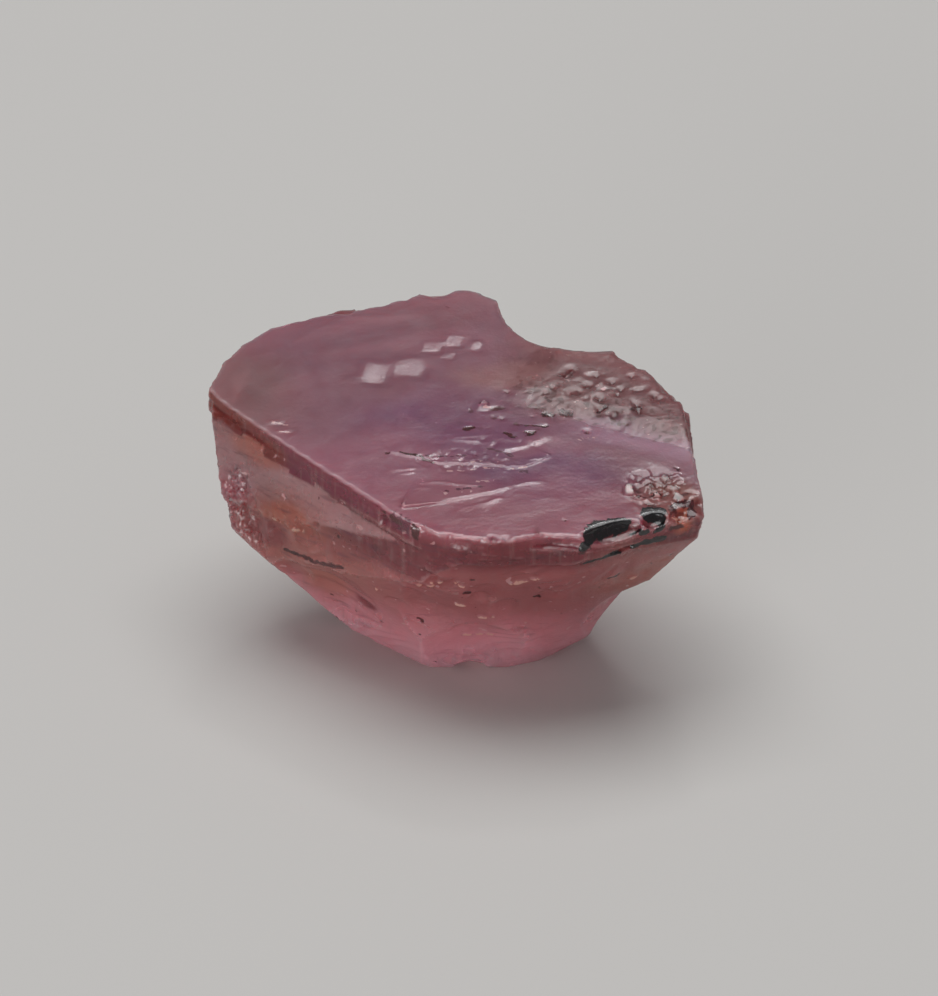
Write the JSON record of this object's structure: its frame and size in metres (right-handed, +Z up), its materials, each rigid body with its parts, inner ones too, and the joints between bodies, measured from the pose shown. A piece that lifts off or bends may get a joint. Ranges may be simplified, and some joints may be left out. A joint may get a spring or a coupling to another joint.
{
  "type": "rough sapphire",
  "caption": "Rough pink sapphire crystal: flat leaning top on a thin stepped layer, broken walls, rounded underside narrowing to a small flat foot.",
  "frame": {"origin": "on the surface the stone stands on, under the middle of its bounding box", "axes": "+Z up, +X along its longest extent; the long broken front wall faces -Y and the hollow in its outline is at +X +Y"},
  "size_m": [0.0078, 0.0068, 0.0044],
  "materials": {
    "corundum": "vitreous translucent pink crystal, smooth on the top, uneven on its broken faces"
  },
  "bodies": {
    "root": {"sapphire": "corundum"}
  },
  "joints": []
}
